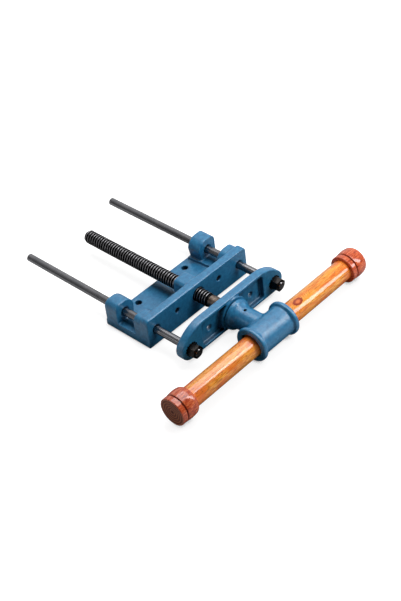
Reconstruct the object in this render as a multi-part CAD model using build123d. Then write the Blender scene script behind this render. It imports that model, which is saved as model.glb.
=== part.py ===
from build123d import *
from math import atan2, cos, degrees, radians, sin, sqrt, tan
import os

# Front woodworking vise, standing on its bench plate.
# X runs across the jaws, +Y runs back under the bench, +Z is up.
# The origin is on the underside of the bench plate, at the middle of the fixed jaw's face.
# All lengths are in millimetres.

# Guide rods and screw line
rod_d = 16.0
rod_inset = 22.5
rod_z = 34.0
rod_rear_y = 363.0
rod_proud = 2.4
rod_bore_d = 16.15
screw_z = 38.5
screw_d = 28.0
screw_bore_d = 28.18
screw_rear_y = 311.0
thread_front_y = -31.0
thread_pitch = 6.35
thread_depth = 3.0
thread_crest_w = 2.4
thread_root_w = 2.2
shoulder_d = 26.0
journal_d = 20.0
journal_bore_d = 20.14
journal_front_y = -150.0

# Fixed body casting
body_half_w = 138.5
wall_t = 17.8
wall_h = 64.5
wall_corner_r = 9.0
wall_edge_r = 1.5
plate_t = 11.0
plate_depth = 120.5
plate_corner_r = 5.0
rail_h = 17.0
rail_w_front = 41.5
rail_w_rear = 50.0
front_boss_rear_y = 38.0
front_boss_top = 60.0
rear_boss_front_y = 84.0
rear_boss_rear_y = 116.0
rear_boss_top = 58.5
boss_shoulder_r = 13.0
boss_tilt = 10.0
boss_edge_r = 2.0
rod_bore_chamfer = 2.4
screw_bore_chamfer = 2.0
nut_boss_half_w = 19.5
nut_boss_foot = 2.0
nut_boss_top = 63.5
nut_boss_r = 10.0
nut_boss_rear_y = 46.5
nut_boss_edge_r = 1.5
bench_hole_x = 65.5
bench_hole_y = 103.0
bench_hole_d = 13.0
bench_hole_chamfer = 1.0
liner_hole_x = 58.0
liner_hole_z = 38.5
liner_hole_d = 11.0
liner_hole_chamfer = 1.5

# Moving jaw casting
opening = 73.0
jaw_t = 17.4
jaw_end_r = 24.1
jaw_top_z = 77.0
jaw_flat_inset = 41.0
jaw_front_edge_r = 2.0
jaw_rear_edge_r = 1.2
pocket_depth = 9.0
pocket_inset = 31.0
pocket_floor_rim = 7.1
pocket_top_rim = 7.0
pocket_corner_r = 6.0
jaw_boss_r = 34.5
jaw_boss_proud = 2.6
jaw_boss_edge_r = 1.0
jaw_boss_foot_rise = 3.0

# Screw head parts
washer_t = 1.9
washer_gap = 0.1
washer_r = 28.5
hub_collar_r = 31.5
hub_collar_t = 8.5
neck_r = 23.6
handle_y = -175.0
tube_r = 29.6
tube_half_l = 49.0
bead_r = 35.0
bead_w = 9.5
handle_bore_d = 46.6
hub_pin_y = -120.5
hub_pin_d = 6.0
hub_pin_l = 41.0
keeper_d = 26.4
keeper_rear_y = -36.0
keeper_gap = 0.2
keeper_pin_d = 5.0
keeper_pin_inset = 0.3
keeper_pin_y = -62.0

# Rod nuts and their toothed lock washers
nut_af = 24.0
nut_t = 14.8
lock_r = 15.0
lock_root_r = 12.9
lock_t = 1.6
lock_teeth = 14

# Handle
bar_d = 42.4
bar_rest_gap = 0.1
bar_x0 = -212.5
bar_x1 = 218.5
tenon_d = 26.0
tenon_l = 27.0
knob_l = 43.5
knob_r = 29.4
knob_ring_r = 28.4
knob_ring_w = 10.6
knob_edge_r = 1.8
knob_dish = 1.2
groove_w = 3.6
groove_root_w = 1.0
groove_depth = 2.8
knob_belly_x = 24.0
knob_shoulder_x = 35.0
knob_shoulder_r = 28.6
knob_nose_x = 40.6
knob_nose_r = 26.2
knob_tip_r = 22.0

rod_x = body_half_w - rod_inset
jaw_flat_x = rod_x - jaw_flat_inset
pocket_x = rod_x - pocket_inset
jaw_bottom_z = rod_z - jaw_end_r
jaw_rear_y = -opening
jaw_front_y = jaw_rear_y - jaw_t
jaw_boss_y = jaw_front_y - jaw_boss_proud
hub_rear_y = jaw_boss_y - washer_gap - washer_t
nut_front_y = jaw_front_y - lock_t - nut_t
rod_front_y = nut_front_y - rod_proud
bar_z = screw_z - (handle_bore_d - bar_d) / 2 + bar_rest_gap


def face_of(*edges):
    """Closes a run of edges into a face."""
    return make_face(Curve() + list(edges))


def polygon(points):
    """A flat face through the given corners."""
    return make_face(Polyline(*points, close=True))


def along_y(sketch, y_front, y_rear):
    """Extrudes a front view, X across and Z up, from y_front back to y_rear."""
    view = Plane(origin=(0, y_rear, 0), x_dir=(1, 0, 0), z_dir=(0, -1, 0))
    return extrude(view * sketch, amount=y_rear - y_front, dir=(0, -1, 0))


def rod_y(radius, x, z, y0, y1):
    """A cylinder along Y."""
    return Pos(x, (y0 + y1) / 2, z) * Rot(90, 0, 0) * Cylinder(radius, y1 - y0)


def cone_y(r0, r1, x, z, y0, y1):
    """A cone along Y whose radius is r0 at y0 and r1 at y1."""
    outline = polygon([(0, y0), (r0, y0), (r1, y1), (0, y1)])
    return Pos(x, 0, z) * revolve(outline, axis=Axis.Y)


def turned_y(points, z):
    """A solid turned about the line X=0 at height z from (radius, y) points."""
    return Pos(0, 0, z) * revolve(polygon(points), axis=Axis.Y)


def turned_x(outline):
    """A solid turned about the X axis from a face drawn as (x, radius)."""
    return revolve(outline, axis=Axis.X)


def arc_between(centre, radius, a0, a1):
    """An arc about centre from angle a0 to angle a1, in degrees."""
    am = (a0 + a1) / 2
    ends = []
    for a in (a0, am, a1):
        ends.append((centre[0] + radius * cos(radians(a)), centre[1] + radius * sin(radians(a))))
    return ThreePointArc(ends[0], ends[1], ends[2])


def side_boss(top, y0, y1):
    """The right-hand rod boss: round over the rod, flush and squarer on its outer side."""
    r = top - rod_z
    s = boss_shoulder_r
    inner_x = rod_x - r * cos(radians(boss_tilt))
    inner_z = rod_z + r * sin(radians(boss_tilt))
    foot_x = inner_x + inner_z * tan(radians(boss_tilt))
    outline = face_of(
        Line((body_half_w, 0), (body_half_w, top - s)),
        arc_between((body_half_w - s, top - s), s, 0, 90),
        Line((body_half_w - s, top), (rod_x, top)),
        arc_between((rod_x, rod_z), r, 90, 180 - boss_tilt),
        Line((inner_x, inner_z), (foot_x, 0)),
        Line((foot_x, 0), (body_half_w, 0)),
    )
    boss = along_y(outline, y0, y1)
    return fillet(boss.faces().sort_by(Axis.Y)[-1].edges().sort_by(Axis.Z)[1:], boss_edge_r)


def both_sides(solid):
    """A right-hand solid and its mirror image on the left."""
    return solid + mirror(solid, about=Plane.YZ)


# Fixed body: plate, front wall, side rails, four rod bosses and the threaded nut boss
plate = Box(2 * body_half_w, plate_depth, plate_t, align=(Align.CENTER, Align.MIN, Align.MIN))
plate = fillet(plate.edges().filter_by(Axis.Z).group_by(Axis.Y)[-1], plate_corner_r)
wall_face = Pos(0, wall_h / 2) * Rectangle(2 * body_half_w, wall_h)
wall_face = fillet(wall_face.vertices().group_by(Axis.Y)[-1], wall_corner_r)
wall = along_y(wall_face, 0, wall_t)
wall = fillet(wall.faces().sort_by(Axis.Y)[0].edges().sort_by(Axis.Z)[-3:], wall_edge_r)
rail_plan = polygon([
    (body_half_w, wall_t - 1),
    (body_half_w, rear_boss_rear_y),
    (body_half_w - rail_w_rear, rear_boss_rear_y),
    (body_half_w - rail_w_front, wall_t - 1),
])
rail = extrude(rail_plan, amount=rail_h)
front_boss = side_boss(front_boss_top, wall_t - 1, front_boss_rear_y)
rear_boss = side_boss(rear_boss_top, rear_boss_front_y, rear_boss_rear_y)
nut_face = polygon([
    (-nut_boss_half_w - nut_boss_foot, 0),
    (nut_boss_half_w + nut_boss_foot, 0),
    (nut_boss_half_w, nut_boss_top),
    (-nut_boss_half_w, nut_boss_top),
])
nut_face = fillet(nut_face.vertices().group_by(Axis.Y)[-1], nut_boss_r)
nut_boss = along_y(nut_face, wall_t - 1, nut_boss_rear_y)
nut_boss = fillet(nut_boss.faces().sort_by(Axis.Y)[-1].edges().sort_by(Axis.Z)[1:], nut_boss_edge_r)
body = plate + wall + both_sides(rail + front_boss + rear_boss) + nut_boss
sb = screw_bore_d / 2
sc = screw_bore_chamfer
body -= rod_y(sb, 0, screw_z, -1, nut_boss_rear_y + 1)
body -= cone_y(sb + sc, sb, 0, screw_z, -0.01, sc)
body -= cone_y(sb, sb + sc, 0, screw_z, nut_boss_rear_y - sc, nut_boss_rear_y + 0.01)
rb = rod_bore_d / 2
rc = rod_bore_chamfer
lh = liner_hole_d / 2
for side in (-1, 1):
    x = side * rod_x
    body -= rod_y(rb, x, rod_z, -1, rear_boss_rear_y + 1)
    body -= cone_y(rb + rc, rb, x, rod_z, -0.01, rc)
    body -= cone_y(rb + rc, rb, x, rod_z, rear_boss_front_y - 0.01, rear_boss_front_y + rc)
    body -= cone_y(rb, rb + rc, x, rod_z, rear_boss_rear_y - rc, rear_boss_rear_y + 0.01)
    body -= rod_y(lh, side * liner_hole_x, liner_hole_z, -1, wall_t + 1)
    body -= cone_y(lh + liner_hole_chamfer, lh, side * liner_hole_x, liner_hole_z, -0.01, liner_hole_chamfer)
    spot = Pos(side * bench_hole_x, bench_hole_y, 0)
    bh = bench_hole_d / 2
    body -= spot * Cylinder(bh, 60)
    bc = bench_hole_chamfer
    edge_cut = Cone(bh, bh + bc, bc, align=(Align.CENTER, Align.CENTER, Align.MAX))
    body -= spot * Pos(0, 0, plate_t + 0.01) * edge_cut
fixed_body = body

# Guide rods
rods = {}
for name, side in (("left_guide_rod", -1), ("right_guide_rod", 1)):
    rod = turned_y([
        (0, rod_front_y),
        (rod_d / 2 - 1.2, rod_front_y),
        (rod_d / 2, rod_front_y + 1.2),
        (rod_d / 2, rod_rear_y - 1.6),
        (rod_d / 2 - 1.6, rod_rear_y),
        (0, rod_rear_y),
    ], rod_z)
    rods[name] = Pos(side * rod_x, 0, 0) * rod

# Moving jaw: bow-topped plate with a pocket each side of the screw boss
drop = jaw_top_z - rod_z
reach = rod_x - jaw_flat_x
bow_r = (reach ** 2 + drop ** 2 - jaw_end_r ** 2) / (2 * (drop - jaw_end_r))
bow_z = jaw_top_z - bow_r
bow_a = degrees(atan2(rod_z - bow_z, reach))
jaw_outline = face_of(
    Line((-rod_x, jaw_bottom_z), (rod_x, jaw_bottom_z)),
    arc_between((rod_x, rod_z), jaw_end_r, -90, bow_a),
    arc_between((jaw_flat_x, bow_z), bow_r, bow_a, 90),
    Line((jaw_flat_x, jaw_top_z), (-jaw_flat_x, jaw_top_z)),
    arc_between((-jaw_flat_x, bow_z), bow_r, 90, 180 - bow_a),
    arc_between((-rod_x, rod_z), jaw_end_r, 180 - bow_a, 270),
)
jaw_plate = along_y(jaw_outline, jaw_front_y, jaw_rear_y)
jaw_plate = fillet(jaw_plate.faces().sort_by(Axis.Y)[0].edges(), jaw_front_edge_r)
jaw_plate = fillet(jaw_plate.faces().sort_by(Axis.Y)[-1].edges(), jaw_rear_edge_r)
pocket_z0 = jaw_bottom_z + pocket_floor_rim
pocket_z1 = jaw_top_z - pocket_top_rim
pocket_face = Pos(0, (pocket_z0 + pocket_z1) / 2) * Rectangle(2 * pocket_x, pocket_z1 - pocket_z0)
pocket_face = fillet(pocket_face.vertices(), pocket_corner_r)
pockets = along_y(pocket_face, jaw_front_y - 1, jaw_front_y + pocket_depth)
jaw_boss = rod_y(jaw_boss_r, 0, screw_z, jaw_boss_y, jaw_front_y + pocket_depth + 1)
jaw_boss = fillet(jaw_boss.faces().sort_by(Axis.Y)[0].edges(), jaw_boss_edge_r)
foot = Box(4 * jaw_boss_r, 4 * jaw_t, 2 * jaw_boss_r, align=(Align.CENTER, Align.CENTER, Align.MAX))
jaw_boss -= Pos(0, jaw_front_y, jaw_bottom_z + jaw_boss_foot_rise) * foot
jaw = jaw_plate - pockets + jaw_boss
jaw -= rod_y(journal_bore_d / 2, 0, screw_z, jaw_boss_y - 1, jaw_rear_y + 1)
for side in (-1, 1):
    jaw -= rod_y(rod_d / 2, side * rod_x, rod_z, jaw_front_y - 1, jaw_rear_y + 1)
    jaw -= rod_y(lh, side * liner_hole_x, liner_hole_z, jaw_front_y - 1, jaw_rear_y + 1)
    floor_y = jaw_front_y + pocket_depth
    rim = lh + liner_hole_chamfer
    jaw -= cone_y(rim, lh, side * liner_hole_x, liner_hole_z, floor_y - 0.01, floor_y + liner_hole_chamfer)
moving_jaw = jaw

# Nuts and toothed lock washers on the rods' front ends
hexagon = RegularPolygon(nut_af / 2, 6, major_radius=False, rotation=12)
nut = along_y(hexagon, 0, nut_t)
corner_r = nut_af / sqrt(3)
crown = turned_y([
    (0, 0),
    (corner_r - 1.6, 0),
    (corner_r, 0.95),
    (corner_r, nut_t - 0.95),
    (corner_r - 1.6, nut_t),
    (0, nut_t),
], 0)
nut = nut & crown
nut -= rod_y(rod_d / 2, 0, 0, -1, nut_t + 1)
teeth = []
for i in range(lock_teeth):
    step = 360 / lock_teeth
    for part_angle, r in ((-0.28, lock_root_r), (-0.2, lock_r), (0.2, lock_r), (0.28, lock_root_r)):
        a = radians((i + part_angle) * step)
        teeth.append((r * cos(a), r * sin(a)))
tooth_face = polygon(teeth) - Circle(rod_d / 2)
lock = along_y(tooth_face, 0, lock_t)
rod_nuts = []
rod_locks = []
for side in (-1, 1):
    rod_nuts.append(Pos(side * rod_x, nut_front_y, rod_z) * nut)
    rod_locks.append(Pos(side * rod_x, jaw_front_y - lock_t, rod_z) * lock)

# Lead screw: plain journal through the jaw, a shoulder, then the thread.
# The ridges are rings at the thread's pitch, turned in one revolve.
crest_r = screw_d / 2
root_r = crest_r - thread_depth
flank_w = (thread_pitch - thread_crest_w - thread_root_w) / 2
screw_profile = [
    (0, journal_front_y),
    (journal_d / 2 - 1, journal_front_y),
    (journal_d / 2, journal_front_y + 1),
    (journal_d / 2, keeper_rear_y),
    (shoulder_d / 2, keeper_rear_y),
    (shoulder_d / 2, thread_front_y),
]
ridge_y = thread_front_y
while ridge_y + thread_pitch < screw_rear_y:
    screw_profile.append((crest_r, ridge_y))
    screw_profile.append((crest_r, ridge_y + thread_crest_w))
    screw_profile.append((root_r, ridge_y + thread_crest_w + flank_w))
    ridge_y += thread_pitch
    screw_profile.append((root_r, ridge_y - flank_w))
screw_profile.append((root_r, screw_rear_y))
screw_profile.append((0, screw_rear_y))
lead_screw = turned_y(screw_profile, screw_z)
hub_pin_hole = Pos(0, hub_pin_y, screw_z) * Cylinder(hub_pin_d / 2, 80)
keeper_pin_hole = Pos(0, keeper_pin_y, screw_z) * Rot(0, 90, 0) * Cylinder(keeper_pin_d / 2, 80)
lead_screw -= hub_pin_hole
lead_screw -= keeper_pin_hole

# Keeper collar and its pin hold the jaw against the hub from behind
keeper = turned_y([
    (journal_d / 2, jaw_rear_y + keeper_gap),
    (keeper_d / 2, jaw_rear_y + keeper_gap),
    (keeper_d / 2, keeper_rear_y - 0.6),
    (keeper_d / 2 - 0.6, keeper_rear_y),
    (journal_d / 2, keeper_rear_y),
], screw_z)
keeper_collar = keeper - keeper_pin_hole
keeper_pin_l = keeper_d - 2 * keeper_pin_inset
keeper_pin = Pos(0, keeper_pin_y, screw_z) * Rot(0, 90, 0) * Cylinder(keeper_pin_d / 2, keeper_pin_l)

# Thrust washer between the jaw's boss and the hub
thrust_washer = rod_y(washer_r, 0, screw_z, hub_rear_y, hub_rear_y + washer_t)
thrust_washer -= rod_y(journal_d / 2, 0, screw_z, hub_rear_y - 1, jaw_boss_y + 1)

# Handle hub: collar, neck and a cross tube with beaded ends
collar_front = hub_rear_y - hub_collar_t
neck_profile = face_of(
    Line((0, hub_rear_y), (hub_collar_r - 1, hub_rear_y)),
    Line((hub_collar_r - 1, hub_rear_y), (hub_collar_r, hub_rear_y - 1)),
    Line((hub_collar_r, hub_rear_y - 1), (hub_collar_r - 1.4, collar_front + 1.5)),
    Line((hub_collar_r - 1.4, collar_front + 1.5), (hub_collar_r - 3.2, collar_front)),
    ThreePointArc((hub_collar_r - 3.2, collar_front), (25.2, collar_front - 5), (neck_r, collar_front - 12)),
    Line((neck_r, collar_front - 12), (neck_r, handle_y)),
    Line((neck_r, handle_y), (0, handle_y)),
    Line((0, handle_y), (0, hub_rear_y)),
)
neck = Pos(0, 0, screw_z) * revolve(neck_profile, axis=Axis.Y)
tube_profile = polygon([
    (-tube_half_l, 0),
    (-tube_half_l, bead_r - 2),
    (-tube_half_l + 2, bead_r),
    (-tube_half_l + bead_w - 1.5, bead_r),
    (-tube_half_l + bead_w, bead_r - 1.5),
    (-tube_half_l + bead_w + 1.5, tube_r),
    (tube_half_l - bead_w - 1.5, tube_r),
    (tube_half_l - bead_w, bead_r - 1.5),
    (tube_half_l - bead_w + 1.5, bead_r),
    (tube_half_l - 2, bead_r),
    (tube_half_l, bead_r - 2),
    (tube_half_l, 0),
])
tube = Pos(0, handle_y, screw_z) * turned_x(tube_profile)
hub = neck + tube
join = hub.edges().filter_by(lambda e: e.geom_type not in (GeomType.LINE, GeomType.CIRCLE))
join = join.filter_by_position(Axis.Y, handle_y, handle_y + tube_r + 2)
hub = fillet(join, 7.0)
hub -= Pos(0, handle_y, screw_z) * Rot(0, 90, 0) * Cylinder(handle_bore_d / 2, 4 * tube_half_l)
hub -= rod_y(journal_d / 2, 0, screw_z, handle_y, hub_rear_y + 1)
hub -= hub_pin_hole
handle_hub = hub
hub_pin = Pos(0, hub_pin_y, screw_z) * Cylinder(hub_pin_d / 2, hub_pin_l)

# Handle bar with a tenon at each end, lying in the bottom of its loose bore
bar_profile = polygon([
    (bar_x0 - tenon_l, 0),
    (bar_x0 - tenon_l, tenon_d / 2),
    (bar_x0, tenon_d / 2),
    (bar_x0, bar_d / 2),
    (bar_x1, bar_d / 2),
    (bar_x1, tenon_d / 2),
    (bar_x1 + tenon_l, tenon_d / 2),
    (bar_x1 + tenon_l, 0),
])
handle_bar = Pos(0, handle_y, bar_z) * turned_x(bar_profile)

# Knob: a ring with a dished end face, a groove, then a barrel that rounds off to its nose
groove_x = knob_ring_w + groove_w / 2
groove_r = knob_ring_r - groove_depth
barrel_x = knob_ring_w + groove_w
knob_outline = face_of(
    Line((knob_dish, 0), (0, knob_ring_r - knob_edge_r)),
    arc_between((knob_edge_r, knob_ring_r - knob_edge_r), knob_edge_r, 180, 90),
    Line((knob_edge_r, knob_ring_r), (knob_ring_w, knob_ring_r)),
    Line((knob_ring_w, knob_ring_r), (groove_x - groove_root_w / 2, groove_r)),
    Line((groove_x - groove_root_w / 2, groove_r), (groove_x + groove_root_w / 2, groove_r)),
    Line((groove_x + groove_root_w / 2, groove_r), (barrel_x, knob_shoulder_r)),
    ThreePointArc((barrel_x, knob_shoulder_r), (knob_belly_x, knob_r), (knob_shoulder_x, knob_shoulder_r)),
    ThreePointArc((knob_shoulder_x, knob_shoulder_r), (knob_nose_x, knob_nose_r), (knob_l, knob_tip_r)),
    Line((knob_l, knob_tip_r), (knob_l, 0)),
    Line((knob_l, 0), (knob_dish, 0)),
)
knob = turned_x(knob_outline)
left_knob = Pos(bar_x0 - knob_l, handle_y, bar_z) * knob - handle_bar
right_knob = Pos(bar_x1, handle_y, bar_z) * knob - handle_bar

pieces = {
    "fixed_body": fixed_body,
    "left_guide_rod": rods["left_guide_rod"],
    "right_guide_rod": rods["right_guide_rod"],
    "moving_jaw": moving_jaw,
    "rod_nuts": Compound(children=rod_nuts),
    "rod_lock_washers": Compound(children=rod_locks),
    "lead_screw": lead_screw,
    "keeper_collar": keeper_collar,
    "keeper_pin": keeper_pin,
    "thrust_washer": thrust_washer,
    "handle_hub": handle_hub,
    "hub_pin": hub_pin,
    "handle_bar": handle_bar,
    "left_knob": left_knob,
    "right_knob": right_knob,
}

os.makedirs("parts", exist_ok=True)
for node, shape in pieces.items():
    export_step(shape, "parts/" + node + ".step")
    box = shape.bounding_box()
    print(node, len(shape.solids()), round(shape.volume), box.min, box.max)
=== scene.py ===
"""Front woodworking vise: finishes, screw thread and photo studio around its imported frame."""

from math import cos, pi, radians, sin

import bpy
from mathutils import Matrix, Vector


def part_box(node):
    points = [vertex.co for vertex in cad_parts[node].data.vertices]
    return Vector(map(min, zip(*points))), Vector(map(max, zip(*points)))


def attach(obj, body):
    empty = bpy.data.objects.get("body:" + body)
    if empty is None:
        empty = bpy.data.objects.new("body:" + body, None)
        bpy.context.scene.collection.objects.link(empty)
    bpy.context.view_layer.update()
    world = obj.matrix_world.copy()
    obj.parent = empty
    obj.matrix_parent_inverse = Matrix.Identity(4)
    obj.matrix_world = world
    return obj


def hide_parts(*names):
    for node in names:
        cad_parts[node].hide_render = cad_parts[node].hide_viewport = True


bl_info = {
    "name": "Woodworking Vise",
    "version": (1, 0, 0),
    "blender": (4, 5, 0),
    "location": "3D View > Sidebar > Vise",
    "description": "Finishes a front woodworking vise and sets it in a plain studio",
    "category": "Object",
}

MM = 0.001

# sides of the screw's round parts, and steps of the thread in one turn
ROUND_SIDES = 64
TURN_STEPS = 60
# the lead screw's plain parts, as the solids have them
JOURNAL_R = 10 * MM
SHOULDER_R = 13 * MM
# half of the thread ridge's sunk foot, as a share of the pitch
RIDGE_FOOT = 0.29
# a knob's end face may be dished by a little over 1 mm
END_DISH = 1.5 * MM

# the camera's place and lens, as they were fitted to the photograph
CAMERA_AZIMUTH, CAMERA_ELEVATION, CAMERA_ROLL = -42.199, 40.499, -7.579
CAMERA_DISTANCE = 2.38326
FOCAL_LENGTH_PIXELS = 1236.80
PHOTO_HEIGHT_PIXELS = 601
SENSOR_MM = 36.0

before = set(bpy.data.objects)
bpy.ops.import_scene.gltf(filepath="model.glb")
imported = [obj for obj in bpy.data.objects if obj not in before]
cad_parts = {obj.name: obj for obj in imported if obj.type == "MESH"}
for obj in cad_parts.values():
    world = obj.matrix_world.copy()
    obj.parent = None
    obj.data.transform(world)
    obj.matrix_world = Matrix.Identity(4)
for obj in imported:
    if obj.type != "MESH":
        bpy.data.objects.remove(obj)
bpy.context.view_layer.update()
screw_low, screw_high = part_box("lead_screw")
_, collar_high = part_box("keeper_collar")
bar_low, bar_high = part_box("handle_bar")
SCREW_Z = (screw_low.z + screw_high.z) / 2
HANDLE_Y = (bar_low.y + bar_high.y) / 2
HANDLE_Z = (bar_low.z + bar_high.z) / 2


def linear(hex_code):
    """An sRGB hex colour as linear red, green, blue and alpha."""
    channels = []
    for i in (0, 2, 4):
        c = int(hex_code[i:i + 2], 16) / 255
        channels.append(c / 12.92 if c <= 0.04045 else ((c + 0.055) / 1.055) ** 2.4)
    return (*channels, 1.0)


def new_material(name):
    """A material whose node tree is still empty."""
    material = bpy.data.materials.new(name)
    material.use_nodes = True
    material.node_tree.nodes.clear()
    return material


def add_node(material, kind, inputs=None, stops=None, **settings):
    """Adds a shader node, with its settings and links, to a material or a world.

    An input takes a value, a socket to link to, or a node whose first output is linked. Stops are
    a colour ramp's (place, colour) pairs.
    """
    tree = material.node_tree
    node = tree.nodes.new("ShaderNode" + kind)
    for name, value in settings.items():
        setattr(node, name, value)
    for name, value in (inputs or {}).items():
        if isinstance(value, bpy.types.Node):
            value = value.outputs[0]
        if isinstance(value, bpy.types.NodeSocket):
            tree.links.new(value, node.inputs[name])
        else:
            node.inputs[name].default_value = value
    if stops:
        elements = node.color_ramp.elements
        while len(elements) < len(stops):
            elements.new(1.0)
        for element, (place, colour) in zip(elements, stops):
            element.position = place
            element.color = colour
    return node


def grey(value):
    """A neutral colour of that linear value."""
    return (value, value, value, 1.0)


def enamel_on_cast_iron(colours):
    """Semi-gloss enamel sprayed over sand-cast iron.

    The paint hides the iron but not its skin: slow waves and a fine sand grain break up every
    highlight, so a face is never one even tone.
    """
    m = new_material("enamel_on_cast_iron")
    place = add_node(m, "TexCoord").outputs["Object"]
    # waves left by the mould, about 16 mm across
    waves = add_node(m, "TexNoise", {"Vector": place, "Scale": 1 / (16 * MM), "Detail": 2.0})
    # thicker and thinner paint, in patches of about 7 mm
    patches = add_node(m, "TexNoise", {
        "Vector": place, "Scale": 1 / (7 * MM), "Detail": 4.0, "Roughness": 0.6,
    })
    # the sand's grain is 0.3 mm, drawn at 1.1 mm so that it shows
    sand = add_node(m, "TexNoise", {"Vector": place, "Scale": 1 / (1.1 * MM), "Detail": 2.0})
    tone = add_node(m, "ValToRGB", {"Fac": patches},
                    stops=[(0.32, colours.enamel_deep), (0.66, colours.enamel)])
    # painted shade: the drilled holes and the deep corners are darkened towards navy, where
    # occlusion is found
    recess = add_node(m, "AmbientOcclusion", {"Distance": 45 * MM}, samples=8, only_local=True)
    painted_shade = add_node(m, "MapRange", {
        "Value": recess.outputs["AO"], "From Min": 0.28, "From Max": 0.8, "To Min": 1.0,
        "To Max": 0.0,
    })
    # painted shade mixed into the paint's colour
    painted_shade_tone = add_node(m, "MixRGB", {"Fac": painted_shade, "Color1": tone, "Color2": colours.enamel_shade})
    gloss = add_node(m, "MapRange", {
        "Value": waves, "From Min": 0.3, "From Max": 0.7, "To Min": 0.32, "To Max": 0.46,
    })
    slow = add_node(m, "Bump", {"Height": waves, "Strength": 0.5, "Distance": 0.8 * MM})
    fine = add_node(m, "Bump", {
        "Height": sand, "Strength": 0.3, "Distance": 0.12 * MM, "Normal": slow,
    })
    surface = add_node(m, "BsdfPrincipled", {
        "Base Color": painted_shade_tone, "IOR": 1.5, "Roughness": gloss, "Specular IOR Level": 0.4,
        "Coat Weight": 0.6, "Coat Roughness": 0.21, "Coat IOR": 1.5, "Coat Normal": fine,
        "Normal": fine,
    })
    add_node(m, "OutputMaterial", {"Surface": surface})
    return m


def blackened_drawn_bar(colours):
    """Cold-drawn steel bar with an oiled black oxide skin.

    Drawing leaves faint lines along the bar. The oxide is dark grey and wears paler where the
    bosses rub it, so the highlight along the top is streaked.
    """
    m = new_material("blackened_drawn_bar")
    place = add_node(m, "TexCoord").outputs["Object"]
    # draw lines 0.6 mm apart across the bar and 60 mm long
    along = add_node(m, "Mapping", {
        "Vector": place, "Scale": (1 / (0.6 * MM), 1 / (60 * MM), 1 / (0.6 * MM)),
    })
    lines = add_node(m, "TexNoise", {"Vector": along, "Scale": 1.0, "Detail": 3.0})
    # rubbed patches about 25 mm long
    rubbed = add_node(m, "TexNoise", {
        "Vector": place, "Scale": 1 / (25 * MM), "Detail": 4.0, "Roughness": 0.65,
    })
    tone = add_node(m, "ValToRGB", {"Fac": rubbed},
                    stops=[(0.35, colours.bar_steel), (0.7, colours.bar_steel_worn)])
    gloss = add_node(m, "MapRange", {
        "Value": lines, "From Min": 0.3, "From Max": 0.7, "To Min": 0.18, "To Max": 0.3,
    })
    bump = add_node(m, "Bump", {"Height": lines, "Strength": 0.2, "Distance": 0.04 * MM})
    surface = add_node(m, "BsdfPrincipled", {
        "Base Color": tone, "Metallic": 1.0, "Roughness": gloss, "Normal": bump,
    })
    add_node(m, "OutputMaterial", {"Surface": surface})
    return m


def blackened_cut_thread(colours, crest_radius):
    """Screw thread cut on a lathe, then blackened.

    The oxide stays in the root and on the flanks, which look black. The nut polishes the crests,
    so each turn shows as a bright line. Painted shade darkens the crests towards the underside.
    """
    m = new_material("blackened_cut_thread")
    place = add_node(m, "TexCoord").outputs["Object"]
    offset = add_node(m, "VectorMath", {0: place, 1: (0.0, 0.0, SCREW_Z)}, operation="SUBTRACT")
    across = add_node(m, "VectorMath", {0: offset, 1: (1.0, 0.0, 1.0)}, operation="MULTIPLY")
    radius = add_node(m, "VectorMath", {0: across}, operation="LENGTH")
    crest = add_node(m, "MapRange", {
        "Value": radius.outputs["Value"], "From Min": crest_radius - 0.4 * MM,
        "From Max": crest_radius - 0.1 * MM,
    })
    # painted shade: the polished crests fade to black towards the underside
    height = add_node(m, "SeparateXYZ", {"Vector": offset})
    painted_top_light = add_node(m, "MapRange", {
        "Value": height.outputs["Z"], "From Min": -6 * MM, "From Max": 7 * MM, "To Min": 0.05,
        "To Max": 1.0,
    })
    # scuffs on the crests, about 4 mm long
    scuffs = add_node(m, "TexNoise", {"Vector": place, "Scale": 1 / (4 * MM), "Detail": 4.0})
    worn = add_node(m, "MapRange", {"Value": scuffs, "From Min": 0.25, "From Max": 0.5})
    rubbed = add_node(m, "Math", {0: crest, 1: worn}, operation="MULTIPLY")
    # the crests' polish, with the painted shade below
    bright = add_node(m, "Math", {0: rubbed, 1: painted_top_light}, operation="MULTIPLY")
    tone = add_node(m, "ValToRGB", {"Fac": bright},
                    stops=[(0.0, colours.thread_oxide), (1.0, colours.thread_crest)])
    gloss = add_node(m, "MapRange", {"Value": bright, "To Min": 0.42, "To Max": 0.36})
    surface = add_node(m, "BsdfPrincipled", {
        "Base Color": tone, "Metallic": 1.0, "Roughness": gloss,
    })
    add_node(m, "OutputMaterial", {"Surface": surface})
    return m


def turned_bare_steel(colours):
    """Bare steel as it leaves the lathe: grey-brown, oily, with rings left by the tool."""
    m = new_material("turned_bare_steel")
    place = add_node(m, "TexCoord").outputs["Object"]
    # tool rings 0.5 mm apart, drawn at 0.9 mm
    rings = add_node(m, "TexWave", {
        "Vector": place, "Scale": pi / 10 / (0.9 * MM), "Distortion": 0.6, "Detail": 2.0,
    }, bands_direction="Y")
    stain_and_shade = add_node(m, "TexNoise", {"Vector": place, "Scale": 1 / (9 * MM), "Detail": 4.0})
    tone = add_node(m, "ValToRGB", {"Fac": stain_and_shade},
                    stops=[(0.35, colours.bare_steel_stained), (0.65, colours.bare_steel)])
    bump = add_node(m, "Bump", {
        "Height": rings.outputs["Fac"], "Strength": 0.25, "Distance": 0.03 * MM,
    })
    surface = add_node(m, "BsdfPrincipled", {
        "Base Color": tone, "Metallic": 1.0, "Roughness": 0.38, "Normal": bump,
    })
    add_node(m, "OutputMaterial", {"Surface": surface})
    return m


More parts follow.
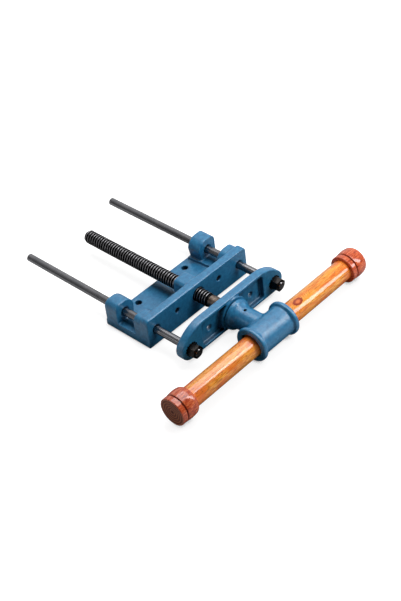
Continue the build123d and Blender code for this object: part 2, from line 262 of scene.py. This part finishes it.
def black_oxide_fastener(colours):
    """Forged nuts, washers and pins in oiled black oxide: black faces with sharp bright glints."""
    m = new_material("black_oxide_fastener")
    place = add_node(m, "TexCoord").outputs["Object"]
    # forging scale in patches of 2.5 mm
    scale = add_node(m, "TexNoise", {"Vector": place, "Scale": 1 / (2.5 * MM), "Detail": 3.0})
    tone = add_node(m, "ValToRGB", {"Fac": scale},
                    stops=[(0.4, colours.oxide), (0.8, colours.oxide_worn)])
    gloss = add_node(m, "MapRange", {
        "Value": scale, "From Min": 0.3, "From Max": 0.7, "To Min": 0.22, "To Max": 0.4,
    })
    bump = add_node(m, "Bump", {"Height": scale, "Strength": 0.25, "Distance": 0.08 * MM})
    surface = add_node(m, "BsdfPrincipled", {
        "Base Color": tone, "Metallic": 1.0, "Roughness": gloss, "Normal": bump,
    })
    add_node(m, "OutputMaterial", {"Surface": surface})
    return m


def varnished_hardwood_bar(colours):
    """Turned orange hardwood under thick clear varnish.

    Short flecks of pale and orange wood run along the bar, with red clouds near the hub and the
    knobs, and thin dark grain lines that bend round a red knot. The varnish is smooth, so each
    lamp shows as a stripe along the bar.
    """
    m = new_material("varnished_hardwood_bar")
    place = add_node(m, "TexCoord").outputs["Object"]
    # one knot, on top of the bar and right of the hub
    knot_place = (80 * MM, HANDLE_Y - 5 * MM, HANDLE_Z + 20.5 * MM)
    away = add_node(m, "VectorMath", {0: place, 1: knot_place}, operation="SUBTRACT")
    # the knot is 22 mm long and 14 mm across
    squeezed = add_node(m, "VectorMath", {0: away, 1: (1 / (11 * MM), 1 / (7 * MM), 1 / (7 * MM))},
                        operation="MULTIPLY")
    reach = add_node(m, "VectorMath", {0: squeezed}, operation="LENGTH")
    # flecks: 2.4 mm across and 14 mm long
    fleck_place = add_node(m, "Mapping", {
        "Vector": place, "Scale": (1 / (14 * MM), 1 / (2.4 * MM), 1 / (2.4 * MM)),
    })
    flecks = add_node(m, "TexNoise", {
        "Vector": fleck_place, "Scale": 1.0, "Detail": 4.0, "Roughness": 0.65, "Distortion": 0.6,
    })
    tone = add_node(m, "ValToRGB", {"Fac": flecks},
                    stops=[(0.34, colours.wood_mid), (0.5, colours.wood),
                           (0.63, colours.wood_pale)])
    # clouds of red wood: 45 mm long and 12 mm across, strongest near the hub and the knobs
    cloud_place = add_node(m, "Mapping", {
        "Vector": place, "Scale": (1 / (45 * MM), 1 / (12 * MM), 1 / (12 * MM)),
    })
    clouds = add_node(m, "TexNoise", {"Vector": cloud_place, "Scale": 1.0, "Detail": 3.0})
    along = add_node(m, "SeparateXYZ", {"Vector": place})
    side = add_node(m, "Math", {0: along.outputs["X"]}, operation="ABSOLUTE")
    by_hub = add_node(m, "MapRange", {
        "Value": side, "From Min": 50 * MM, "From Max": 90 * MM, "To Min": 0.16, "To Max": 0.0,
    })
    by_knob = add_node(m, "MapRange", {
        "Value": side, "From Min": 165 * MM, "From Max": 205 * MM, "To Max": 0.16,
    })
    redder = add_node(m, "Math", {0: by_hub, 1: by_knob}, operation="ADD")
    red = add_node(m, "Math", {0: clouds, 1: redder}, operation="ADD")
    red_share = add_node(m, "MapRange", {
        "Value": red, "From Min": 0.48, "From Max": 0.68, "To Max": 0.75,
    })
    gold_share = add_node(m, "MapRange", {
        "Value": red, "From Min": 0.46, "From Max": 0.34, "To Max": 0.7,
    })
    golden = add_node(m, "MixRGB", {"Fac": gold_share, "Color1": tone, "Color2": colours.wood_gold})
    clouded = add_node(m, "MixRGB", {
        "Fac": red_share, "Color1": golden, "Color2": colours.wood_red,
    })
    # grain lines: the edges of growth layers 110 mm long and 10 mm thick, pushed aside by the knot
    layer_place = add_node(m, "Mapping", {
        "Vector": place, "Scale": (1 / (110 * MM), 1 / (10 * MM), 1 / (10 * MM)),
    })
    layers = add_node(m, "TexNoise", {
        "Vector": layer_place, "Scale": 1.0, "Detail": 2.0, "Roughness": 0.4,
    })
    push = add_node(m, "MapRange", {
        "Value": reach.outputs["Value"], "From Min": 3.5, "From Max": 0.0, "To Max": 0.35,
    }, interpolation_type="SMOOTHSTEP")
    growth = add_node(m, "Math", {0: layers, 1: push}, operation="ADD")
    # thirteen layers over the whole range of the noise
    count = add_node(m, "Math", {0: growth, 1: 13.0}, operation="MULTIPLY")
    layer = add_node(m, "Math", {0: count}, operation="FRACT")
    line = add_node(m, "ValToRGB", {"Fac": layer},
                    stops=[(0.0, grey(0.6)), (0.1, grey(0.45)), (0.26, grey(0.0)), (0.9, grey(0.0)),
                           (1.0, grey(0.6))])
    grained = add_node(m, "MixRGB", {"Fac": line, "Color1": clouded, "Color2": colours.wood_dark})
    # the knot: a dark ring round a mottled paler heart, with a ragged edge
    ragged = add_node(m, "MapRange", {
        "Value": flecks, "From Min": 0.3, "From Max": 0.7, "To Min": -0.1, "To Max": 0.1,
    })
    rim = add_node(m, "Math", {0: reach.outputs["Value"], 1: ragged}, operation="ADD")
    knot = add_node(m, "MapRange", {"Value": rim, "From Min": 1.2, "From Max": 0.95},
                    interpolation_type="SMOOTHSTEP")
    eye = add_node(m, "ValToRGB", {"Fac": rim},
                   stops=[(0.3, colours.knot_heart), (0.68, colours.knot), (1.0, colours.knot)])
    colour = add_node(m, "MixRGB", {"Fac": knot, "Color1": grained, "Color2": eye})
    bump = add_node(m, "Bump", {"Height": flecks, "Strength": 0.12, "Distance": 0.12 * MM})
    surface = add_node(m, "BsdfPrincipled", {
        "Base Color": colour, "Roughness": 0.5, "Specular IOR Level": 0.1, "Coat Weight": 1.0,
        "Coat IOR": 1.55, "Coat Roughness": 0.09, "Normal": bump,
    })
    add_node(m, "OutputMaterial", {"Surface": surface})
    return m


def stained_turned_knob(colours):
    """Turned hardwood knob, stained red-brown and varnished, with painted shade darkening its
    grooves.
    """
    m = new_material("stained_turned_knob")
    place = add_node(m, "TexCoord").outputs["Object"]
    # figure 2.6 mm across, longer along the knob's axis
    figure_place = add_node(m, "Mapping", {
        "Vector": place, "Scale": (1 / (11 * MM), 1 / (2.6 * MM), 1 / (2.6 * MM)),
    })
    figure = add_node(m, "TexNoise", {
        "Vector": figure_place, "Scale": 1.0, "Detail": 5.0, "Roughness": 0.6, "Distortion": 0.8,
    })
    tone = add_node(m, "ValToRGB", {"Fac": figure},
                    stops=[(0.33, colours.knob_dark), (0.5, colours.knob),
                           (0.66, colours.knob_pale)])
    # painted shade: darker in the grooves and hollows, where the mesh is occluded
    hollow = add_node(m, "AmbientOcclusion", {"Distance": 6 * MM}, samples=8, only_local=True)
    stain_and_shade = add_node(m, "MapRange", {
        "Value": hollow.outputs["AO"], "From Min": 0.35, "From Max": 0.75, "To Min": 0.85,
        "To Max": 0.0,
    })
    stained = add_node(m, "MixRGB", {"Fac": stain_and_shade, "Color1": tone, "Color2": colours.knob_groove_shade_and_mark})
    bump = add_node(m, "Bump", {"Height": figure, "Strength": 0.12, "Distance": 0.12 * MM})
    surface = add_node(m, "BsdfPrincipled", {
        "Base Color": stained, "Roughness": 0.5, "Specular IOR Level": 0.1, "Coat Weight": 1.0,
        "Coat IOR": 1.55, "Coat Roughness": 0.1, "Normal": bump,
    })
    add_node(m, "OutputMaterial", {"Surface": surface})
    return m


def dark_end_grain(colours):
    """Flat end of a turned knob: dull stained end grain, lathe rings and a small centre mark."""
    m = new_material("dark_end_grain")
    place = add_node(m, "TexCoord").outputs["Object"]
    offset = add_node(m, "VectorMath", {0: place, 1: (0.0, HANDLE_Y, HANDLE_Z)},
                      operation="SUBTRACT")
    across = add_node(m, "VectorMath", {0: offset, 1: (0.0, 1.0, 1.0)}, operation="MULTIPLY")
    radius = add_node(m, "VectorMath", {0: across}, operation="LENGTH")
    # rings 0.4 mm apart, drawn 5 mm apart so that they show, a little uneven
    uneven = add_node(m, "TexNoise", {"Vector": place, "Scale": 1 / (10 * MM), "Detail": 4.0})
    shift = add_node(m, "Math", {0: uneven, 1: 2.0}, operation="MULTIPLY")
    turns = add_node(m, "Math", {0: radius.outputs["Value"], 1: 2 * pi / (5 * MM)},
                     operation="MULTIPLY")
    angle = add_node(m, "Math", {0: turns, 1: shift}, operation="ADD")
    wave = add_node(m, "Math", {0: angle}, operation="SINE")
    tone = add_node(m, "ValToRGB", {"Fac": wave},
                    stops=[(0.0, colours.end_grain_dark), (0.9, colours.end_grain)])
    mark = add_node(m, "MapRange", {
        "Value": radius.outputs["Value"], "From Min": 2.4 * MM, "From Max": 1.4 * MM,
    })
    marked = add_node(m, "MixRGB", {"Fac": mark, "Color1": tone, "Color2": colours.knob_groove_shade_and_mark})
    surface = add_node(m, "BsdfPrincipled", {
        "Base Color": marked, "Roughness": 0.5, "Specular IOR Level": 0.1,
    })
    add_node(m, "OutputMaterial", {"Surface": surface})
    return m


def finish_node(node, material):
    """Gives a CAD node its finish."""
    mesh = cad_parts[node].data
    mesh.materials.clear()
    mesh.materials.append(material)


def link_mesh(name, vertices, faces):
    """A new mesh object in the scene, from corners in metres."""
    mesh = bpy.data.meshes.new(name)
    mesh.from_pydata(vertices, [], faces)
    mesh.update()
    piece = bpy.data.objects.new(name, mesh)
    bpy.context.scene.collection.objects.link(piece)
    return piece


def baked_mesh(piece, name):
    """The piece's mesh with its modifiers applied."""
    graph = bpy.context.evaluated_depsgraph_get()
    mesh = bpy.data.meshes.new_from_object(piece.evaluated_get(graph))
    mesh.name = name
    return mesh


def cast_skin(node, body, grain, rounds, material):
    """Replaces a casting's node by the same shape with the soft edges of a sand casting."""
    name = node + "_skin"
    piece = bpy.data.objects.new(name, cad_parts[node].data.copy())
    bpy.context.scene.collection.objects.link(piece)
    remesh = piece.modifiers.new("skin", "REMESH")
    remesh.mode = "VOXEL"
    remesh.voxel_size = grain
    smooth = piece.modifiers.new("rounding", "SMOOTH")
    smooth.factor = 0.5
    smooth.iterations = rounds
    mesh = baked_mesh(piece, name)
    piece.modifiers.clear()
    piece.data = mesh
    for polygon in mesh.polygons:
        polygon.use_smooth = True
    mesh.materials.clear()
    mesh.materials.append(material)
    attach(piece, body)
    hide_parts(node)


def turned(rings, vertices, faces):
    """Adds a shape turned about the screw's axis with flat ends, from each ring's (y, radius)."""
    start = len(vertices)
    for y, r in rings:
        for i in range(ROUND_SIDES):
            angle = 2 * pi * i / ROUND_SIDES
            vertices.append((r * cos(angle), y, SCREW_Z + r * sin(angle)))
    for k in range(len(rings) - 1):
        for i in range(ROUND_SIDES):
            a = start + k * ROUND_SIDES + i
            b = start + k * ROUND_SIDES + (i + 1) % ROUND_SIDES
            faces.append((a, b, b + ROUND_SIDES, a + ROUND_SIDES))
    faces.append(tuple(start + i for i in reversed(range(ROUND_SIDES))))
    faces.append(tuple(start + (len(rings) - 1) * ROUND_SIDES + i for i in range(ROUND_SIDES)))


def thread_ridge(low_y, high_y, pitch, root, crest, vertices, faces):
    """Adds a right-hand ridge wound round the screw, with its foot sunk in the core."""
    # the trapezoid's (along, up) corners, in shares of the pitch and of the thread's depth
    section = [(-RIDGE_FOOT, -0.3), (-0.27, 0.02), (-0.17, 0.93), (-0.13, 1.0),
               (0.13, 1.0), (0.17, 0.93), (0.27, 0.02), (RIDGE_FOOT, -0.3)]
    # the first and last quarter turn rise from just under the core
    run_out_turns = 0.25
    sunk = 0.08
    height = crest - root
    count = int((high_y - low_y) / pitch * TURN_STEPS)
    start = len(vertices)
    for k in range(count + 1):
        turn = k / TURN_STEPS
        risen = min(1.0, turn / run_out_turns, (count - k) / TURN_STEPS / run_out_turns)
        angle = 2 * pi * turn
        for along, up in section:
            r = root + height * (up * risen - sunk * (1 - risen))
            y = low_y + pitch * (turn + along)
            vertices.append((r * sin(angle), y, SCREW_Z + r * cos(angle)))
    n = len(section)
    for k in range(count):
        for j in range(n):
            a = start + k * n + j
            b = start + k * n + (j + 1) % n
            faces.append((a, b, b + n, a + n))
    faces.append(tuple(start + j for j in reversed(range(n))))
    faces.append(tuple(start + count * n + j for j in range(n)))


def swatch(name, description, hex_code):
    """A colour that the user may change."""
    return bpy.props.FloatVectorProperty(
        name=name, description=description, size=4, subtype="COLOR", min=0.0, max=1.0,
        default=linear(hex_code))


class ViseColours(bpy.types.PropertyGroup):
    """Paint, steel and wood colours."""

    enamel: swatch("Enamel", "Blue paint where it lies thin", "2F84B2")
    enamel_deep: swatch("Deep enamel", "Blue paint where it lies thick", "1C6A99")
    # painted shade colour for the holes and deep corners
    enamel_shade: swatch("Enamel in painted shade", "Painted shade in the holes and deep corners", "050F1E")
    oxide: swatch("Black oxide", "Blackened steel", "232222")
    oxide_worn: swatch("Worn oxide", "Blackened steel where it is rubbed", "403C3A")
    bar_steel: swatch("Bar steel", "Guide rods", "75767A")
    bar_steel_worn: swatch("Worn bar steel", "Guide rods where the bosses rub them", "88878A")
    thread_oxide: swatch("Thread oxide", "Root and flanks of the screw thread", "1A1A1B")
    thread_crest: swatch("Thread crest", "Polished crest of the screw thread", "8E8D90")
    bare_steel: swatch("Bare steel", "Keeper collar", "7C7169")
    bare_steel_stained: swatch("Stained steel", "Keeper collar where oil has browned it", "5A4E46")
    wood: swatch("Wood", "Orange wood of the handle bar", "FFA238")
    wood_pale: swatch("Pale wood", "Pale flecks of the handle bar", "FFBC60")
    wood_mid: swatch("Brown wood", "Darker flecks of the handle bar", "F08828")
    wood_red: swatch("Red wood", "Red clouds in the handle bar", "EC6A20")
    wood_gold: swatch("Golden wood", "Yellow clouds in the handle bar", "FFAA33")
    wood_dark: swatch("Dark wood", "Grain lines of the handle bar", "9C3A10")
    knot: swatch("Knot", "Ring of the knot in the handle bar", "A2380E")
    knot_heart: swatch("Knot heart", "Heart of the knot in the handle bar", "E6783C")
    knob: swatch("Knob", "Stained end knobs", "CE5024")
    knob_dark: swatch("Dark knob", "Dark figure of the end knobs", "932E10")
    knob_pale: swatch("Pale knob", "Pale figure of the end knobs", "EA8250")
    # painted shade colour for the knobs' grooves, also the colour of their centre marks
    knob_groove_shade_and_mark: swatch("Knob groove", "Painted shade in the grooves of the end knobs, and their centre marks", "4A0E04")
    end_grain: swatch("End grain", "Flat ends of the knobs", "AE6C50")
    end_grain_dark: swatch("Dark end grain", "Rings on the flat ends of the knobs", "74402E")


class ViseSizes(bpy.types.PropertyGroup):
    """Sizes that the looks add to the frame."""

    thread_pitch: bpy.props.FloatProperty(
        name="Thread pitch", description="Travel of the jaw for one turn",
        unit="LENGTH", default=6.35 * MM, min=2 * MM, max=12 * MM)
    thread_depth: bpy.props.FloatProperty(
        name="Thread depth", description="From crest to root of the screw thread",
        unit="LENGTH", default=3.0 * MM, min=0.5 * MM, max=5 * MM)
    thread_start: bpy.props.FloatProperty(
        name="Thread start", description="Where the thread begins, along Y",
        unit="LENGTH", default=collar_high.y + 2 * MM)
    cast_grain: bpy.props.FloatProperty(
        name="Cast skin step", description="Mesh step of the castings' skin",
        unit="LENGTH", default=1.2 * MM, min=0.8 * MM, max=4 * MM)
    cast_rounds: bpy.props.IntProperty(
        name="Cast rounding", description="Rounds of smoothing of the castings' edges",
        default=5, min=1, max=30)


class ViseCastings(bpy.types.Operator):
    """Skins the body, the moving jaw and the handle hub as painted iron castings"""

    bl_idname = "vise.castings"
    bl_label = "Castings"

    def execute(self, context):
        sizes = context.scene.vise_sizes
        enamel = enamel_on_cast_iron(context.scene.vise_colours)
        for node, body in (("fixed_body", "base"), ("moving_jaw", "jaw"), ("handle_hub", "screw")):
            cast_skin(node, body, sizes.cast_grain, sizes.cast_rounds, enamel)
        return {"FINISHED"}


class ViseGuideRods(bpy.types.Operator):
    """Finishes the two guide rods"""

    bl_idname = "vise.guide_rods"
    bl_label = "Guide rods"

    def execute(self, context):
        bar = blackened_drawn_bar(context.scene.vise_colours)
        for node in ("left_guide_rod", "right_guide_rod"):
            finish_node(node, bar)
        return {"FINISHED"}


class ViseLeadScrew(bpy.types.Operator):
    """Cuts the lead screw's thread and finishes the keeper collar"""

    bl_idname = "vise.lead_screw"
    bl_label = "Lead screw"

    def execute(self, context):
        colours = context.scene.vise_colours
        sizes = context.scene.vise_sizes
        crest = (screw_high.x - screw_low.x) / 2
        root = crest - sizes.thread_depth
        start = sizes.thread_start
        end = screw_high.y
        vertices, faces = [], []
        # journal and shoulder, left bare
        turned([
            (screw_low.y, JOURNAL_R - MM), (screw_low.y + MM, JOURNAL_R),
            (collar_high.y, JOURNAL_R), (collar_high.y, SHOULDER_R), (start, SHOULDER_R),
        ], vertices, faces)
        plain_faces = len(faces)
        # the thread's core, with a rounded end
        turned([
            (start, root), (end - 2 * MM, root), (end - 0.5 * MM, root - 0.6 * MM),
            (end, root - 1.4 * MM),
        ], vertices, faces)
        half_ridge = RIDGE_FOOT * sizes.thread_pitch
        thread_ridge(start + half_ridge, end - half_ridge, sizes.thread_pitch, root, crest,
                     vertices, faces)
        screw = link_mesh("lead_screw_thread", vertices, faces)
        bare = turned_bare_steel(colours)
        screw.data.materials.append(blackened_cut_thread(colours, crest))
        screw.data.materials.append(bare)
        for polygon in screw.data.polygons:
            polygon.use_smooth = True
            polygon.material_index = 1 if polygon.index < plain_faces else 0
        screw.data.set_sharp_from_angle(angle=radians(40))
        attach(screw, "screw")
        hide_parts("lead_screw")
        finish_node("keeper_collar", bare)
        finish_node("keeper_pin", bare)
        return {"FINISHED"}


class ViseFasteners(bpy.types.Operator):
    """Finishes the nuts, lock washers, thrust washer and hub pin"""

    bl_idname = "vise.fasteners"
    bl_label = "Fasteners"

    def execute(self, context):
        oxide = black_oxide_fastener(context.scene.vise_colours)
        for node in ("rod_nuts", "rod_lock_washers", "thrust_washer", "hub_pin"):
            finish_node(node, oxide)
        return {"FINISHED"}


class ViseHandle(bpy.types.Operator):
    """Finishes the wooden handle bar and its knobs"""

    bl_idname = "vise.handle"
    bl_label = "Handle"

    def execute(self, context):
        colours = context.scene.vise_colours
        finish_node("handle_bar", varnished_hardwood_bar(colours))
        knob = stained_turned_knob(colours)
        end_grain = dark_end_grain(colours)
        for node in ("left_knob", "right_knob"):
            finish_node(node, knob)
            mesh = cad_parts[node].data
            mesh.materials.append(end_grain)
            low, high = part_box(node)
            for polygon in mesh.polygons:
                x = polygon.center.x
                past_bar = x > bar_high.x or x < bar_low.x
                at_end = min(x - low.x, high.x - x) < END_DISH
                flat = abs(polygon.normal.x) > 0.99
                polygon.material_index = 1 if past_bar and at_end and flat else 0
        return {"FINISHED"}


def matt_white_sweep(paper_white, seen_white):
    """Plain matt white paper sweep.

    It reflects light as paper_white does. The camera, and the metal's mirrored view of it, get
    seen_white, except down a hole, close under the object and in its shade, where occlusion
    darkens the glow and the paper's colour as painted shade.
    """
    m = new_material("matt_white_sweep")
    rays = add_node(m, "LightPath")
    # painted shade: occlusion darkens the floor down a hole and between the castings
    near = add_node(m, "AmbientOcclusion", {"Distance": 14 * MM}, samples=8)
    painted_contact_shade = add_node(m, "MapRange", {
        "Value": near.outputs["AO"], "From Min": 0.2, "From Max": 0.65,
    })
    # painted shade: the glow in the floor's mirrored view fades near the object
    wide = add_node(m, "AmbientOcclusion", {"Distance": 200 * MM}, samples=8)
    shade = add_node(m, "MapRange", {
        "Value": wide.outputs["AO"], "From Min": 0.6, "From Max": 0.92, "To Max": 0.52,
    })
    # in a mirrored view the paper is mostly its own glow
    share = add_node(m, "MapRange", {
        "Value": rays.outputs["Is Glossy Ray"], "To Min": paper_white, "To Max": 0.2 * paper_white,
    })
    # painted shade: the paper beside the object is coloured darker, so it sends little light back
    # up to it
    painted_bounce_shade = add_node(m, "MapRange", {
        "Value": wide.outputs["AO"], "From Min": 0.6, "From Max": 0.95, "To Min": 0.2,
    })
    tone = add_node(m, "Math", {0: share, 1: painted_bounce_shade}, operation="MULTIPLY")
    # painted shade: the paper's colour darkens close under the object and down a hole
    tint = add_node(m, "MapRange", {"Value": painted_contact_shade, "To Min": 0.02, "To Max": tone})
    paper = add_node(m, "BsdfDiffuse", {"Color": tint})
    direct = add_node(m, "Math", {
        0: rays.outputs["Is Camera Ray"], 1: rays.outputs["Is Transmission Ray"],
    }, operation="MAXIMUM")
    # painted shade: the glow that the camera sees darkens there too
    direct_glow = add_node(m, "Math", {0: direct, 1: painted_contact_shade}, operation="MULTIPLY")
    # painted shade in the floor's mirrored glow
    mirrored_glow = add_node(m, "Math", {0: rays.outputs["Is Glossy Ray"], 1: shade},
                             operation="MULTIPLY")
    both = add_node(m, "Math", {0: direct_glow, 1: mirrored_glow}, operation="ADD")
    glow_level = add_node(m, "Math", {0: both, 1: seen_white}, operation="MULTIPLY")
    glow = add_node(m, "Emission", {"Color": grey(1.0), "Strength": glow_level})
    bright = add_node(m, "AddShader", {0: paper, 1: glow})
    add_node(m, "OutputMaterial", {"Surface": bright})
    return m


def soft_box(name, place, aim, along, length, width, watts):
    """A rectangular studio lamp that looks at aim, with its length laid along a direction."""
    data = bpy.data.lights.new(name, "AREA")
    data.shape = "RECTANGLE"
    data.size = length
    data.size_y = width
    data.energy = watts
    lamp = bpy.data.objects.new(name, data)
    bpy.context.scene.collection.objects.link(lamp)
    away = (Vector(place) - Vector(aim)).normalized()
    long_side = Vector(along)
    long_side = (long_side - long_side.dot(away) * away).normalized()
    short_side = away.cross(long_side)
    lamp.matrix_world = Matrix((
        (long_side.x, short_side.x, away.x, place[0]),
        (long_side.y, short_side.y, away.y, place[1]),
        (long_side.z, short_side.z, away.z, place[2]),
        (0.0, 0.0, 0.0, 1.0),
    ))


class ViseStudio(bpy.types.Operator):
    """Sets the floor, the lamps, the white surround and the camera"""

    bl_idname = "vise.studio"
    bl_label = "Studio"

    def execute(self, context):
        scene = context.scene
        scene.view_settings.view_transform = "Standard"
        # half the floor's width, in metres
        half = 4.0
        corners = [(-half, -half, 0), (half, -half, 0), (half, half, 0), (-half, half, 0)]
        floor = link_mesh("studio_floor", corners, [(0, 1, 2, 3)])
        floor.data.materials.append(matt_white_sweep(paper_white=0.78, seen_white=0.9))

        world = bpy.data.worlds.new("studio_air")
        scene.world = world
        world.use_nodes = True
        world.node_tree.nodes.clear()
        rays = add_node(world, "LightPath")
        # the room is dark at the front left and white at the rear right, for the steel to mirror
        way = add_node(world, "SeparateXYZ", {
            "Vector": add_node(world, "TexCoord").outputs["Generated"],
        })
        towards = add_node(world, "Math", {0: way.outputs["X"], 1: way.outputs["Y"]},
                           operation="ADD")
        room = add_node(world, "MapRange", {
            "Value": towards, "From Min": -0.25, "From Max": 1.0, "To Min": 0.04, "To Max": 0.9,
        })
        mirrored = add_node(world, "Math", {
            0: rays.outputs["Is Glossy Ray"], 1: rays.outputs["Is Transmission Ray"],
        }, operation="MAXIMUM")
        # the rest of the light that the room gives is weak, and the camera sees the room white
        share = add_node(world, "MapRange", {"Value": mirrored, "To Min": 0.16, "To Max": 1.0})
        around = add_node(world, "Math", {0: room, 1: share}, operation="MULTIPLY")
        strength = add_node(world, "Math", {0: around, 1: rays.outputs["Is Camera Ray"]},
                            operation="MAXIMUM")
        air = add_node(world, "Background", {"Color": grey(1.0), "Strength": strength})
        add_node(world, "OutputWorld", {"Surface": air})

        soft_box("overhead_box", place=(0.355, 0.0, 1.24), aim=(0.355, 0.0, 0.0), along=(1, 0, 0),
                 length=0.81, width=1.46, watts=14.6)
        soft_box("front_right_box", place=(0.74, -0.93, 0.8), aim=(0.0, -0.17, 0.04),
                 along=(0, 0, 1), length=1.15, width=0.27, watts=9.2)
        soft_box("left_box", place=(-1.4, 0.5, 0.6), aim=(0.0, 0.0, 0.03), along=(0, 0, 1),
                 length=0.6, width=0.8, watts=2.0)

        azimuth, elevation = radians(CAMERA_AZIMUTH), radians(CAMERA_ELEVATION)
        roll = radians(CAMERA_ROLL)
        level = cos(elevation)
        back = Vector((sin(azimuth) * level, -cos(azimuth) * level, sin(elevation)))
        side = Vector((cos(azimuth), sin(azimuth), 0.0))
        up = back.cross(side)
        right = cos(roll) * side + sin(roll) * up
        top = cos(roll) * up - sin(roll) * side
        # the origin lies 0.2 mm right of the frame's middle and 17.06 mm below it
        aim = -0.0002 * right + 0.01706 * top
        data = bpy.data.cameras.new("photo_camera")
        data.sensor_width = SENSOR_MM
        data.lens = FOCAL_LENGTH_PIXELS * SENSOR_MM / PHOTO_HEIGHT_PIXELS
        data.clip_end = 20.0
        camera = bpy.data.objects.new("photo_camera", data)
        scene.collection.objects.link(camera)
        place = aim + CAMERA_DISTANCE * back
        camera.matrix_world = Matrix((
            (right.x, top.x, back.x, place.x),
            (right.y, top.y, back.y, place.y),
            (right.z, top.z, back.z, place.z),
            (0.0, 0.0, 0.0, 1.0),
        ))
        scene.camera = camera
        return {"FINISHED"}


STEPS = (ViseCastings, ViseGuideRods, ViseLeadScrew, ViseFasteners, ViseHandle, ViseStudio)


class VisePanel(bpy.types.Panel):
    """Lists the vise's building steps and its settings"""

    bl_idname = "VIEW3D_PT_vise"
    bl_label = "Woodworking Vise"
    bl_space_type = "VIEW_3D"
    bl_region_type = "UI"
    bl_category = "Vise"

    def draw(self, context):
        for step in STEPS:
            self.layout.operator(step.bl_idname)
        for settings in (context.scene.vise_sizes, context.scene.vise_colours):
            column = self.layout.column()
            for name in settings.bl_rna.properties.keys():
                if name not in ("rna_type", "name"):
                    column.prop(settings, name)


CLASSES = (ViseColours, ViseSizes, *STEPS, VisePanel)


def register():
    for cls in CLASSES:
        bpy.utils.register_class(cls)
    bpy.types.Scene.vise_colours = bpy.props.PointerProperty(type=ViseColours)
    bpy.types.Scene.vise_sizes = bpy.props.PointerProperty(type=ViseSizes)


def unregister():
    del bpy.types.Scene.vise_sizes
    del bpy.types.Scene.vise_colours
    for cls in reversed(CLASSES):
        bpy.utils.unregister_class(cls)


def main():
    register()
    bpy.ops.vise.castings()
    bpy.ops.vise.guide_rods()
    bpy.ops.vise.lead_screw()
    bpy.ops.vise.fasteners()
    bpy.ops.vise.handle()
    bpy.ops.vise.studio()


if __name__ == "__main__":
    main()
